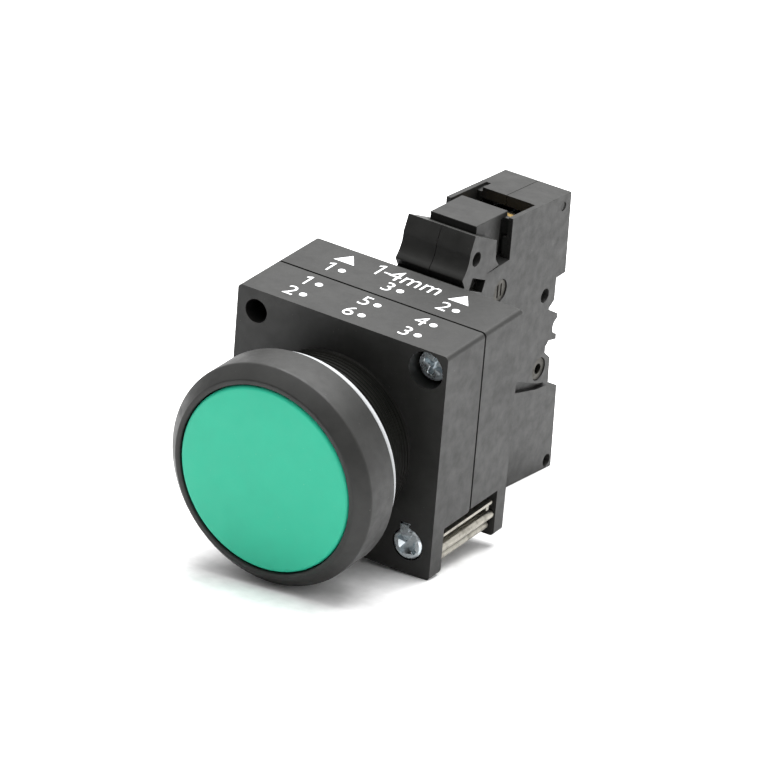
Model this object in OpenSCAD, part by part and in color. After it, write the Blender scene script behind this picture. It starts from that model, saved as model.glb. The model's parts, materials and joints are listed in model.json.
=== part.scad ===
// Industrial push button for a 22 mm panel hole.
// A flush button in a round bezel stands in front of the panel. Behind the panel a two-part
// holder clamps it, and one contact block with two screw terminals clips onto the holder.
// X is to the right, +Y runs along the button's axis into the panel and +Z is up.
// The origin is on the button's axis, in the plane of the panel's front face.

/* [Bezel and button] */
// Radius of the round bezel
bezel_r = 14.25; // [13.5:0.05:16]
// How far the bezel's front rim stands out of the panel
bezel_h = 8.0; // [6:0.1:12]
// Depth of the cone between the rim and the bezel's outer wall
bezel_cone = 1.45; // [0.5:0.05:2.5]
// Radius of the button cap
cap_r = 11.9; // [10:0.05:12.4]
// How far the cap stands out of the bezel's rim
cap_proud = 0.15; // [-0.5:0.05:1]
// Travel of the button
travel = 4.0; // [3:0.1:4.2]
// Radius of the button's guide tube
plunger_r = 8.5; // [7.5:0.05:9]
// Radius of the stem that works the contact block
stem_r = 2.2; // [1.5:0.05:2.3]

/* [Neck and seals] */
// Radius of the neck that goes through the panel
neck_r = 11.0; // [10.8:0.05:11.1]
// Thickness of the panel gasket
gasket_t = 1.2; // [0.8:0.1:2]
// Outer radius of the panel gasket
gasket_r = 13.5; // [13:0.05:14.2]
// How far the loose gasket sits off centre, up to the right
gasket_shift = 0.4; // [0:0.05:0.5]
// Rear end of the neck inside the holder
neck_end = 17.2; // [16:0.1:18]
// Radial play between the neck and the holder
neck_play = 0.08; // [0.02:0.01:0.1]

/* [Holder] */
// Width of the holder
holder_w = 30; // [28:0.5:30]
// Top of the holder above the axis
holder_top = 15.45; // [14:0.05:16]
// Bottom of the holder below the axis
holder_low = 14.85; // [14:0.05:20]
// Front face of the holder behind the panel's front face
holder_y = 7.2; // [6:0.1:9]
// Depth of the holder
holder_d = 16.8; // [14:0.1:20]
// Radius of the holder's long edges
holder_edge = 0.6; // [0.2:0.1:1.5]
// Depth of the groove where the holder's halves meet
seam_groove = 0.35; // [0.1:0.05:0.5]
// Distance between the holder's three block positions
position_pitch = 9.7; // [9.6:0.05:10]
// Reach of the clamp cut-outs up from the bottom
notch_h = 6.15; // [5:0.05:7]
// Front plate in front of each clamp cut-out
notch_plate = 2.6; // [2:0.1:3]
// Rear lip behind each clamp cut-out
notch_lip = 2.05; // [1.5:0.05:3]

/* [Panel clamps] */
// Clamp axis to the side of the button's axis
clamp_x = 11.6; // [11:0.05:12]
// Clamp axis below the button's axis
clamp_z = 10.9; // [10:0.05:11.5]
// Radius of the pressure foot
foot_r = 2.05; // [1.8:0.05:2.2]
// Radius of the clamp screw
clamp_screw_r = 1.6; // [1.3:0.05:1.6]

/* [Contact block] */
// Width of the contact block
block_w = 9.7; // [9:0.1:10]
// Wall of the contact block's shells
block_wall = 1.25; // [1:0.05:1.6]
// Side walls of the opening above the upper terminal
mouth_wall = 0.65; // [0.5:0.05:1.25]
// Gap between the two shells
shell_gap = 0.08; // [0.02:0.01:0.12]
// Rear end of the block's upper half
block_rear = 51.9; // [50:0.1:54]
// Top of the wall above the upper terminal, at its front
wall_top = 19.35; // [18:0.05:20]
// Fall of the block's top and bottom towards the rear
block_fall = 1.35; // [0:0.05:2]
// Rear end of the block's lower half
low_rear = 53.2; // [52:0.1:55]
// Lowest point of the block
low_bottom = 21.9; // [20:0.1:24]
// Lean of the nose above the holder, in degrees
nose_lean = 24.6; // [10:0.2:35]
// Height of the upper terminal screw above the axis
upper_z = 13.0; // [12:0.1:13.4]
// Depth of the lower terminal screw below the axis
lower_z = 14.0; // [13:0.1:14.5]

/* [Contacts] */
// Gap between open contact tips
contact_gap = 2.4; // [1.5:0.1:3]
// Radius of a contact tip
tip_r = 0.9; // [0.6:0.05:1.2]
// Thickness of the contact strips
strip_t = 0.8; // [0.5:0.05:1]
// Radius of a terminal screw's head
head_r = 2.1; // [1.9:0.05:2.2]

/* [Hidden] */
$fn = 96;
rim_y = -bezel_h;
bore_r = cap_r + 0.1;
seat_y = -2.6;                      // inner floor of the bezel
flange_r = neck_r + 0.2;
rear_neck_r = neck_r - 0.4;
seal_r = 10.2;
lip_y = 6.0;                        // shoulder that stops the plunger's lip
pocket_r = 9.6;
spring_seat_t = 1.5;
plunger_y = neck_end - spring_seat_t - travel - 0.3;
stem_end = 19.9;
rear_y = holder_y + holder_d;
seam_y = holder_y + holder_d / 2 + 0.03;
notch_y0 = holder_y + notch_plate;
notch_y1 = rear_y - notch_lip;
notch_z = -holder_low + notch_h;
notch_x = clamp_x - 2.6;
notch_step = 0.25;                  // the rear half's cut-outs reach higher by this
notch_round = 0.6;
seam_w = 0.16;
screw_at = [12.05, 12.8];
spare_at = [-12.2, 12.6];
rear_plate = 17.4;                  // the neck's bore ends here
half = block_w / 2;
room = half - block_wall;
gap = shell_gap / 2;
mouth = half - mouth_wall;
lug_z = 5.6;                        // half height of the block's front lug
body_rear = 48.8;                   // rear face between the two terminals
wall_y = 37.6;                      // front edge of the wall above the upper terminal
low_y = 31.0;                       // front of the box round the lower terminal
box_y = 31.4;                       // front of the terminal guard
mark_at = [50.0, 16.6];
nose_at = [28.8, 20.2];             // top front corner of the nose
lug_y = 20.5;
tappet_y = 20.0;
tappet_x = 2.4;
tappet_z = 2.6;
bridge_y = 31.0;
bridge_t = 0.6;
tip_t = 0.5;
fixed_y = bridge_y + bridge_t + 2 * tip_t + contact_gap;
spring_end = 45.5;
bar_y = 42.2;                       // terminal bar that the wire is clamped to
yoke_y = 39.4;
yoke_end = 46.6;
head_y = 48.3;
front_rivet = [36.0, 10.1];
mid_rivet = [47.6, -5.25];
low_rivet = [34.6, -12.6];

black = [0.09, 0.09, 0.09];
zinc = [0.7, 0.72, 0.75];
brass = [0.8, 0.65, 0.35];

// ---- helpers ----

// Turns an outline of [radius, y] points about the button's axis.
module turned(outline) {
  rotate([-90, 0, 0]) rotate_extrude() polygon(outline);
}

// A round bar along Y at [x, z].
module rod(r, y0, y1, at = [0, 0]) {
  translate([at[0], y0, at[1]]) rotate([-90, 0, 0]) cylinder(r = r, h = y1 - y0);
}

// A flat shape in X and Z, drawn out from y0 to y1.
module along_y(y0, y1) {
  translate([0, y1, 0]) rotate([90, 0, 0]) linear_extrude(y1 - y0) children();
}

// A flat shape in Y and Z, drawn out from x0 to x1.
module along_x(x0, x1) {
  translate([x0, 0, 0]) rotate([90, 0, 90]) linear_extrude(x1 - x0) children();
}

// A rectangle given by two of its corners.
module span(low, high) {
  translate(low) square([high[0] - low[0], high[1] - low[1]]);
}

// A box given by two of its corners.
module block(low, high) {
  translate(low) cube([high[0] - low[0], high[1] - low[1], high[2] - low[2]]);
}

// A rectangle with rounded corners.
module soft_span(low, high, r) {
  span([low[0] + r, low[1]], [high[0] - r, high[1]]);
  span([low[0], low[1] + r], [high[0], high[1] - r]);
  for (x = [low[0] + r, high[0] - r], z = [low[1] + r, high[1] - r])
    translate([x, z]) circle(r = r);
}

// The points of an arc, from one angle to another.
function arc(at, r, from, to, n = 8) =
  [for (i = [0:n]) at + r * [cos(from + (to - from) * i / n), sin(from + (to - from) * i / n)]];

// A coil spring about Y at [x, z].
module coil(mean_r, wire, y0, y1, turns) {
  steps = 16 * turns;
  sides = 8;
  rise = y1 - y0 - wire;
  points = [for (i = [0:steps], j = [0:sides - 1])
    let (t = 360 * turns * i / steps, a = 360 * j / sides, r = mean_r + wire / 2 * cos(a))
    [r * cos(t), y0 + wire / 2 + rise * i / steps + wire / 2 * sin(a), r * sin(t)]];
  skin = [for (i = [0:steps - 1], j = [0:sides - 1], k = [0, 1])
    let (a = i * sides + j, b = i * sides + (j + 1) % sides)
    k == 0 ? [a, b, b + sides] : [a, b + sides, a + sides]];
  first = [for (j = [sides - 1:-1:0]) j];
  last = [for (j = [0:sides - 1]) steps * sides + j];
  polyhedron(points, concat([first], skin, [last]), convexity = 10);
}

// A cross recess cut into a screw's rear end.
module cross_cut(y, depth, length, width, at = [0, 0]) {
  for (turn = [0, 90])
    translate([at[0], y, at[1]]) rotate([0, turn, 0])
      translate([-length / 2, -depth, -width / 2]) cube([length, depth + 1, width]);
}

// ---- bezel, button and neck ----

module bezel() {
  color(black) turned(concat(
    [[bore_r, seat_y], [bore_r, rim_y + 0.15], [bore_r + 0.15, rim_y]],
    arc([bore_r + 0.5, rim_y + 0.3], 0.3, -90, -34),
    arc([bezel_r - 0.8, rim_y + bezel_cone + 0.66], 0.8, -34, 0),
    [[bezel_r, -gasket_t - 0.3], [bezel_r - 0.3, -gasket_t], [seal_r, -gasket_t], [seal_r, seat_y]]));
}

module button_cap() {
  top = rim_y - cap_proud;
  color([0.05, 0.55, 0.38]) turned(concat(
    [[0, top + 1.15], [0, top]],
    arc([cap_r - 0.4, top + 0.4], 0.4, -90, 0),
    [[cap_r, seat_y - travel - 0.2], [cap_r - 0.9, seat_y - travel - 0.2], [cap_r - 0.9, top + 1.15]]));
}

module button_plunger() {
  top = rim_y - cap_proud + 1.15;
  disc = top + 0.4;
  color([0.75, 0.75, 0.73]) {
    turned([[0, top], [cap_r - 1.0, top], [cap_r - 1.0, disc], [plunger_r, disc],
      [plunger_r, lip_y + 0.05], [pocket_r - 0.2, lip_y + 0.05], [pocket_r - 0.2, lip_y + 1.1],
      [plunger_r, lip_y + 1.6], [plunger_r, plunger_y], [plunger_r - 1.1, plunger_y],
      [plunger_r - 1.1, disc + 0.8], [stem_r, disc + 0.8], [stem_r, stem_end - 0.3],
      [stem_r - 0.3, stem_end], [0, stem_end]]);
  }
}

module return_spring() {
  color(zinc) coil(plunger_r - 2.0, 0.8, rim_y - cap_proud + 2.4, neck_end - spring_seat_t - 0.05, 6);
}

module lip_seal() {
  color([0.05, 0.05, 0.05]) turned([[plunger_r + 0.08, seat_y + 0.1], [seal_r - 0.5, seat_y + 0.1],
    [seal_r, seat_y + 0.5], [seal_r, -gasket_t], [plunger_r + 0.5, -gasket_t],
    [plunger_r + 0.5, seat_y + 0.7], [plunger_r + 0.08, seat_y + 0.5]]);
}

module panel_gasket() {
  hole_r = flange_r + gasket_shift + 0.05;
  color([0.9, 0.9, 0.88]) translate(gasket_shift * [cos(45), 0, sin(45)])
    turned([[hole_r, -gasket_t], [gasket_r, -gasket_t], [gasket_r, -0.2], [gasket_r - 0.2, 0],
      [hole_r, 0]]);
}

module neck_sleeve() {
  color([0.14, 0.14, 0.12]) difference() {
    turned([[plunger_r + 0.08, -gasket_t], [flange_r, -gasket_t], [flange_r, 0], [neck_r, 0],
      [neck_r, holder_y], [rear_neck_r, holder_y], [rear_neck_r, neck_end - spring_seat_t],
      [pocket_r, neck_end - spring_seat_t], [pocket_r, lip_y], [plunger_r + 0.08, lip_y]]);
    for (side = [-1, 1])
      translate([side * rear_neck_r, 0, 0])
        block([-0.5, holder_y + 2, -1.5], [0.5, neck_end, 1.5]);
  }
}

module spring_seat() {
  color(black) turned([[stem_r + 0.1, neck_end - spring_seat_t], [rear_neck_r, neck_end - spring_seat_t],
    [rear_neck_r, neck_end - 0.4], [rear_neck_r - 0.4, neck_end], [stem_r + 0.1, neck_end]]);
}

// ---- holder and panel clamps ----

// The holder's outline, seen from the front.
module holder_outline(inset = 0) {
  soft_span([-holder_w / 2 + inset, -holder_low + inset], [holder_w / 2 - inset, holder_top - inset],
    holder_edge);
}

// The outline of a pressure foot with its key, about the right clamp's axis.
module foot_outline(play) {
  circle(r = foot_r + play);
  span([-1.1 - play, 0], [0.1 + play, 2.7 + play]);
}

// Puts a right-hand clamp piece on either side.
module clamp_side(side) {
  if (side > 0) translate([clamp_x, 0, -clamp_z]) children();
  else mirror([1, 0, 0]) translate([clamp_x, 0, -clamp_z]) children();
}

// The cut-outs that show the clamps at the holder's two lower corners, up to a given height.
module clamp_notches(top) {
  for (side = [-1, 1])
    clamp_side(side)
      block([notch_x - clamp_x, notch_y0, -holder_low], [holder_w, notch_y1, top + clamp_z]);
}

module holder_front() {
  color(black) difference() {
    union() {
      along_y(holder_y, seam_y - seam_w) holder_outline();
      along_y(holder_y + 1, seam_y) holder_outline(seam_groove);
    }
    rod(rear_neck_r + neck_play, holder_y - 1, seam_y + 1);
    clamp_notches(notch_z);
    for (side = [-1, 1])
      clamp_side(side) along_x(notch_x - clamp_x, holder_w) difference() {
        span([seam_y - notch_round, -holder_low], [seam_y + 1, notch_z + clamp_z + notch_round]);
        translate([seam_y - notch_round, notch_z + clamp_z + notch_round]) circle(r = notch_round);
      }
    for (side = [-1, 1]) clamp_side(side) along_y(holder_y - 1, notch_y0 + 1) foot_outline(0.08);
    rod(2.4, holder_y - 1, holder_y + 3.7, screw_at);
    rod(1.5, holder_y, seam_y + 1, screw_at);
    rod(1.55, holder_y - 1, seam_y + 1, spare_at);
  }
}

module holder_rear() {
  color(black) difference() {
    union() {
      along_y(seam_y, rear_y - 1) holder_outline(seam_groove);
      along_y(seam_y + seam_w, rear_y) holder_outline();
    }
    rod(rear_neck_r + neck_play, seam_y - 1, rear_plate);
    block([-half - 0.05, rear_plate - 0.5, -lug_z - 0.15], [half + 0.05, rear_y + 1, lug_z + 0.15]);
    for (side = [-1, 1]) {
      translate([side * position_pitch, 0, 0])
        block([-3.6, rear_plate - 0.5, -5.0], [3.6, rear_y + 1, 6.4]);
      clamp_side(side) rod(1.75, notch_y1 - 1, rear_y + 1);
    }
    clamp_notches(notch_z + notch_step);
    rod(1.5, seam_y - 1, rear_y - 2.4, screw_at);
    for (x = [-position_pitch, 0, position_pitch])
      block([x - 1.2, rear_y - 0.8, 8.3], [x + 1.2, rear_y + 1, 9.5]);
  }
}

module fixing_screw() {
  y = holder_y + 1.7;
  color(zinc) difference() {
    union() {
      rod(2.0, y, y + 2.0, screw_at);
      rod(1.45, y + 2.0, rear_y - 3.5, screw_at);
    }
    for (turn = [20, 110])
      translate([screw_at[0], y - 1, screw_at[1]]) rotate([0, turn, 0])
        translate([-1.3, 0, -0.3]) cube([2.6, 2.0, 0.6]);
  }
}

// Ribbed insert with a thin blade and a hooked end above its ribs.
module clamp_insert(side) {
  color(zinc) clamp_side(side) difference() {
    union() {
      along_y(notch_y0, notch_y1 - 0.1) {
        circle(r = 2.2);
        span([-2.6, -2.2], [1.6, 0.4]);
        span([0, -2.6], [1.9, -1.0]);
        span([1.5, -1.2], [2.7, -0.7]);
        translate([2.7, -0.95]) circle(r = 0.55);
      }
      along_y(notch_y0, notch_y1 - 0.4) translate([2.2, -2.45]) circle(r = 0.55);
      block([0.9, notch_y0, 0.75], [3.1, notch_y1 - 0.5, 1.15]);
      block([2.5, notch_y1 - 1.6, 0.1], [3.0, notch_y1 - 1.0, 0.85]);
    }
    rod(clamp_screw_r + 0.05, notch_y0 - 1, notch_y1 + 1);
    block([1.85, notch_y0 - 1, -0.4], [2.4, notch_y1 + 1, 0.75]);
  }
}
module clamp_insert_right() { clamp_insert(1); }
module clamp_insert_left() { clamp_insert(-1); }

module pressure_foot(side) {
  front = holder_y - 0.15;
  color(zinc) clamp_side(side) difference() {
    union() {
      along_y(front + 0.3, notch_y0 - 0.1) foot_outline(0);
      translate([0, front, 0]) rotate([-90, 0, 0]) cylinder(r1 = foot_r - 0.3, r2 = foot_r, h = 0.3);
      block([-1.1, front, 0], [0.1, front + 0.4, 2.55]);
    }
    for (turn = [35, 125])
      translate([0, front - 1, 0]) rotate([0, turn, 0])
        translate([-1.5, 0, -0.35]) cube([3.0, 1.8, 0.7]);
    translate([-foot_r, front - 1, -0.9]) rotate([0, 20, 0]) cube([1.0, 2.6, 1.0], center = true);
    translate([0, front - 0.01, 0]) rotate([-90, 0, 0]) cylinder(r1 = 1.25, r2 = 0.2, h = 0.7);
    rod(1.0, notch_y0 - 1.1, notch_y0 + 1);
  }
}
module pressure_foot_right() { pressure_foot(1); }
module pressure_foot_left() { pressure_foot(-1); }

module clamp_screw(side) {
  color(zinc) clamp_side(side) difference() {
    union() {
      rod(0.95, notch_y0 - 1.0, notch_y0 + 0.1);
      rod(clamp_screw_r, notch_y0, notch_y1 - 0.3);
    }
    cross_cut(notch_y1 - 0.3, 1.0, 2.2, 0.5);
  }
}
module clamp_screw_right() { clamp_screw(1); }
module clamp_screw_left() { clamp_screw(-1); }

// ---- contact block ----

// Two blunt teeth with a round hollow between them, on the block's rear face.
module rear_teeth() {
  difference() {
    polygon([[48.0, 2.6], [49.0, 2.55], [51.1, 1.3], [51.3, -2.4], [49.5, -1.95], [49.0, -2.45],
      [48.0, -2.5]]);
    translate([51.35, -0.5]) circle(r = 1.15);
  }
}

// The leaning nose above the holder, with its hollow front.
module nose_outline() {
  translate(nose_at) rotate(-nose_lean) difference() {
    polygon([[0, 0], [5.77, 0], [7.0, -2.4], [8.2, -3.0], [1.6, -6.8], [0.1, -5.7]]);
    translate([-3.6, -3.9]) circle(r = 4.0);
  }
}

// The block's side, seen from the right.
module side_outline() {
  slope = block_fall / (block_rear - wall_y);
  span([rear_y + 0.02, -8.6], [body_rear, 6.8]);
  span([rear_y + 1.0, 6.7], [38, 13.8]);
  polygon([[48.7, 2.9], [body_rear, 2.9], [49.95, 3.6], [49.95, 6.8], [48.7, 6.8]]);
  polygon([[48.7, -3.4], [body_rear, -3.4], [50.2, -4.6], [50.4, -8.7], [48.7, -8.7]]);
  rear_teeth();
  nose_outline();
  polygon([[wall_y, 6.7], [block_rear + 0.2, 6.7], [block_rear - 0.2, wall_top - block_fall],
    [wall_y, wall_top]]);
  difference() {
    polygon([[low_y, -8.2], [50.2, -8.2], [50.6, -9.3], [low_rear - 0.5, -9.5],
      [low_rear, -low_bottom], [low_y, -low_bottom + (low_rear - low_y) * slope * 1.35]]);
    translate([low_rear, -low_bottom]) difference() {
      span([-1, -1], [1, 1]);
      translate([-1, 1.15]) circle(r = 1);
    }
  }
}

// The room inside the shells for one terminal and its contact strip, above the axis.
module terminal_room(z, top) {
  along_x(-room, room) {
    span([34.3, 5.5], [44.4, 8.6]);
    span([38.7, 8.5], [50.3, z + 4.3]);
    span([38.9, z], [44.0, top]);
  }
  rod(head_r - 0.3, 50, 55, [0, z]);
}

// Everything that is cut out of both shells.
module block_room() {
  along_x(-room, room) {
    span([26.6, -6.0], [spring_end, 6.0]);
    span([31.2, 13.9], [39.0, 26]);
  }
  terminal_room(upper_z, 26);
  mirror([0, 0, 1]) terminal_room(lower_z, 26);
  along_x(-mouth, mouth) span([wall_y - 0.6, 16.6], [43.9, 26]);
  block([-mouth, 43.5, 18.2], [-mouth + 0.7, 46.0, 26]);
  block([-tappet_x - 0.05, lug_y - 1, -tappet_z - 0.05], [tappet_x + 0.05, 27, tappet_z + 0.05]);
  for (at = [front_rivet, mid_rivet, low_rivet]) {
    along_x(-half - 1, half + 1) translate(at) circle(r = 1.05);
    for (side = [-1, 1])
      translate([side * half, 0, 0]) along_x(-0.6, 0.6) translate(at) circle(r = 1.55);
  }
}

// Small sunk details on the outside of one shell.
module side_details() {
  along_x(half - 1.3, half + 1) {
    translate([29.5, 16.85]) circle(r = 0.95);
    translate([30.2, 13.05]) rotate(-nose_lean) square([3.5, 1.6], center = true);
    translate([47.4, 5.15]) circle(r = 0.95);
    translate([low_rear - 1.3, -20.0]) circle(r = 0.85);
  }
  along_x(half - 0.12, half + 1) translate(mark_at) circle(r = 0.6);
  along_x(half - 0.7, half + 1)
    polygon([[40.5, -4.2], [47.5, -7.25], [51.0, -8.3], [51.0, -8.6], [47.5, -8.1], [40.5, -6.1]]);
}

module block_shell_right() {
  color(black) difference() {
    union() {
      along_x(gap, half) side_outline();
      block([gap, lug_y, -lug_z], [half - 0.05, rear_y + 1, lug_z]);
    }
    block_room();
    side_details();
  }
}

module block_shell_left() {
  color(black) difference() {
    union() {
      along_x(-half, -gap) side_outline();
      block([-half + 0.05, lug_y, -lug_z], [-gap, rear_y + 1, lug_z]);
    }
    block_room();
    mirror([1, 0, 0]) side_details();
  }
}

// Three rivets that hold the shells together: a solid one with slits in front and two hollow ones.
module block_rivets() {
  color([0.3, 0.27, 0.22]) difference() {
    for (at = [front_rivet, mid_rivet, low_rivet]) {
      along_x(-half + 0.15, half - 0.15) translate(at) circle(r = 1.0);
      for (side = [-1, 1])
        translate([side * (half - 0.35), 0, 0]) along_x(-0.2, 0.2) translate(at) circle(r = 1.45);
    }
    for (at = [mid_rivet, low_rivet]) along_x(-half - 1, half + 1) translate(at) circle(r = 0.7);
    for (side = [-1, 1], slit = [-0.4, 0.4])
      translate([side * (half - 0.25), front_rivet[0] + slit, front_rivet[1]])
        cube([0.4, 0.3, 1.7], center = true);
  }
}

// Inner moulding that guards the upper terminal, with a wide flange at its rear.
module terminal_box() {
  color(black) difference() {
    union() {
      along_x(-room + 0.25, room - 0.25)
        polygon([[box_y, 14.0], [box_y, 20.1], [38.8, 19.6], [38.8, 14.0]]);
      along_x(-room + 0.05, room - 0.05) span([38.1, 14.0], [38.8, 17.0]);
      along_x(-mouth + 0.05, mouth - 0.05) span([38.1, 16.7], [38.8, 18.9]);
    }
    along_x(-room + 1.2, room - 1.2) span([box_y + 1, 13], [37.8, 18.5]);
    for (side = [-1, 1])
      translate([side * (room - 0.25), 0, 0]) block([-0.6, 37.2, 13], [0.6, 38.1, 18.9]);
  }
}

module contact_tappet() {
  rear = bridge_y + bridge_t + 0.05;
  color([0.75, 0.2, 0.15]) difference() {
    union() {
      block([-tappet_x, tappet_y, -tappet_z], [tappet_x, rear + 2.4, tappet_z]);
      rod(1.2, rear + 2.4, rear + 8.4);
    }
    block([-1.6, 26.0, -5], [1.6, rear, 5]);
    block([-3, 23.6, 1.9], [3, rear - 4.2, 3]);
    block([-3, 23.6, -3], [3, rear - 4.2, -1.9]);
  }
}

module tappet_spring() {
  color(zinc) coil(1.95, 0.45, bridge_y + bridge_t + 2.5, spring_end - 0.05, 7);
}

module contact_bridge() {
  color(brass) difference() {
    block([-1.5, bridge_y, -5.3], [1.5, bridge_y + bridge_t, 5.3]);
    for (side = [-1, 1])
      translate([0, 0, side * 5.3]) rotate([0, 45, 0]) block([-0.4, bridge_y - 1, -0.4],
        [0.4, bridge_y + 2, 0.4]);
  }
}

module bridge_tips() {
  color([0.85, 0.85, 0.85]) for (z = [-4.2, 4.2])
    rod(tip_r, bridge_y + bridge_t, bridge_y + bridge_t + tip_t, [0, z]);
}

module contact_spring() {
  color(zinc) coil(1.1, 0.35, 26.05, bridge_y - 0.05, 5);
}

// Bent strip from a fixed contact tip to its terminal, above the axis.
module fixed_contact(z) {
  end = z + 4.0;
  along_x(-1.7, 1.7) {
    span([fixed_y, 3.2], [fixed_y + strip_t, 8.4]);
    span([fixed_y, 8.4 - strip_t], [bar_y + strip_t, 8.4]);
    span([bar_y, 8.4 - strip_t], [bar_y + strip_t, end]);
  }
  block([-3.1, bar_y, z + 3.1], [3.1, bar_y + strip_t, end]);
}
module fixed_contact_upper() { color(brass) fixed_contact(upper_z); }
module fixed_contact_lower() { color(brass) mirror([0, 0, 1]) fixed_contact(lower_z); }

module fixed_tips() {
  color([0.85, 0.85, 0.85]) for (z = [-4.2, 4.2]) rod(tip_r, fixed_y - tip_t, fixed_y, [0, z]);
}

module terminal_screw(z) {
  color(zinc) difference() {
    union() {
      rod(1.4, bar_y + strip_t + 0.05, head_y, [0, z]);
      rod(head_r, head_y, head_y + 1.6, [0, z]);
    }
    cross_cut(head_y + 1.6, 1.0, 3.0, 0.6, [0, z]);
  }
}
module terminal_screw_upper() { terminal_screw(upper_z); }
module terminal_screw_lower() { terminal_screw(-lower_z); }

// Clamping cage that the terminal screw draws towards the rear.
module terminal_yoke(z) {
  color(zinc) difference() {
    block([-2.4, yoke_y, z - 2.9], [2.4, yoke_end, z + 2.9]);
    block([-1.8, yoke_y + 0.8, z - 4], [1.8, yoke_end - 1.2, z + 4]);
    rod(1.45, yoke_end - 2, yoke_end + 1, [0, z]);
  }
}
module terminal_yoke_upper() { terminal_yoke(upper_z); }
module terminal_yoke_lower() { terminal_yoke(-lower_z); }

bezel();
button_cap();
button_plunger();
return_spring();
lip_seal();
panel_gasket();
neck_sleeve();
spring_seat();
holder_front();
holder_rear();
fixing_screw();
clamp_insert_right();
clamp_insert_left();
pressure_foot_right();
pressure_foot_left();
clamp_screw_right();
clamp_screw_left();
block_shell_right();
block_shell_left();
block_rivets();
terminal_box();
contact_tappet();
tappet_spring();
contact_bridge();
bridge_tips();
contact_spring();
fixed_contact_upper();
fixed_contact_lower();
fixed_tips();
terminal_screw_upper();
terminal_screw_lower();
terminal_yoke_upper();
terminal_yoke_lower();
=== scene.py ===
"""Looks of an industrial push button: its turned front parts, its springs, its holder and its finishes."""
import json
import logging
import math
from dataclasses import dataclass, field
from enum import Enum

import bpy
from mathutils import Matrix, Vector

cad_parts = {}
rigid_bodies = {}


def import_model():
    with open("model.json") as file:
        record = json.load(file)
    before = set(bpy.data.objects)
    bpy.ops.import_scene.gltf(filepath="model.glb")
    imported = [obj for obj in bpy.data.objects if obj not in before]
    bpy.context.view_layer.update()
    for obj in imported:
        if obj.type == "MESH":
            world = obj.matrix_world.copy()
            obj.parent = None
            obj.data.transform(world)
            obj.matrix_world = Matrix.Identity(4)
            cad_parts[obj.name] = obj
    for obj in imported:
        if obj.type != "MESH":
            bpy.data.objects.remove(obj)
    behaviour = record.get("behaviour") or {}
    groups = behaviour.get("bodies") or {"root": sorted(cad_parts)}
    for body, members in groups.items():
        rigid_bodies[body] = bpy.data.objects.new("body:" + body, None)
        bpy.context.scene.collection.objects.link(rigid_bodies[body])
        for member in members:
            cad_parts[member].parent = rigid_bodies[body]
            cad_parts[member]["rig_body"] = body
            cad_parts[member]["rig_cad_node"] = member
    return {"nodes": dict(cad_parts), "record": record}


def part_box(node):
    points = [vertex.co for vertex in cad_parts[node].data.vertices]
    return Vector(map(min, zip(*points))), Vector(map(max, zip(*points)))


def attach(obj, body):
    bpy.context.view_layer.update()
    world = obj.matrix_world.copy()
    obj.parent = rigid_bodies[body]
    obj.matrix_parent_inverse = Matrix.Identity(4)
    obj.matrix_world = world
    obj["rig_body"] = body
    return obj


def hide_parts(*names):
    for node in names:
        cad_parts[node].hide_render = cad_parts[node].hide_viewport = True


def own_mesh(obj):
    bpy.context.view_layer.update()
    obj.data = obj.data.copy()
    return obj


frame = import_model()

logging.basicConfig(level=logging.INFO, format="%(name)s: %(message)s")
LOG = logging.getLogger("push_button")

MM = 0.001
WELD = 0.002 * MM
Point = tuple[float, float]


# ---------------------------------------------------------------- finishes


class Coat(Enum):
    """The finishes that the pieces choose from, named as the record's material slots."""

    BLACK_PLASTIC = "black_plastic"
    DARK_PLASTIC = "dark_plastic"
    GREEN_PLASTIC = "green_plastic"
    LIGHT_PLASTIC = "light_plastic"
    RED_PLASTIC = "red_plastic"
    BLACK_RUBBER = "black_rubber"
    PALE_GASKET = "pale_gasket"
    SPRING_STEEL = "spring_steel"
    ZINC_STEEL = "zinc_steel"
    ZINC_CASTING = "zinc_casting"
    DARK_RIVET = "dark_rivet"
    BRASS_STRIP = "brass_strip"
    SILVER_TIP = "silver_tip"
    WHITE_INK = "white_ink"
    PAPER_FLOOR = "paper_floor"


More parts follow.
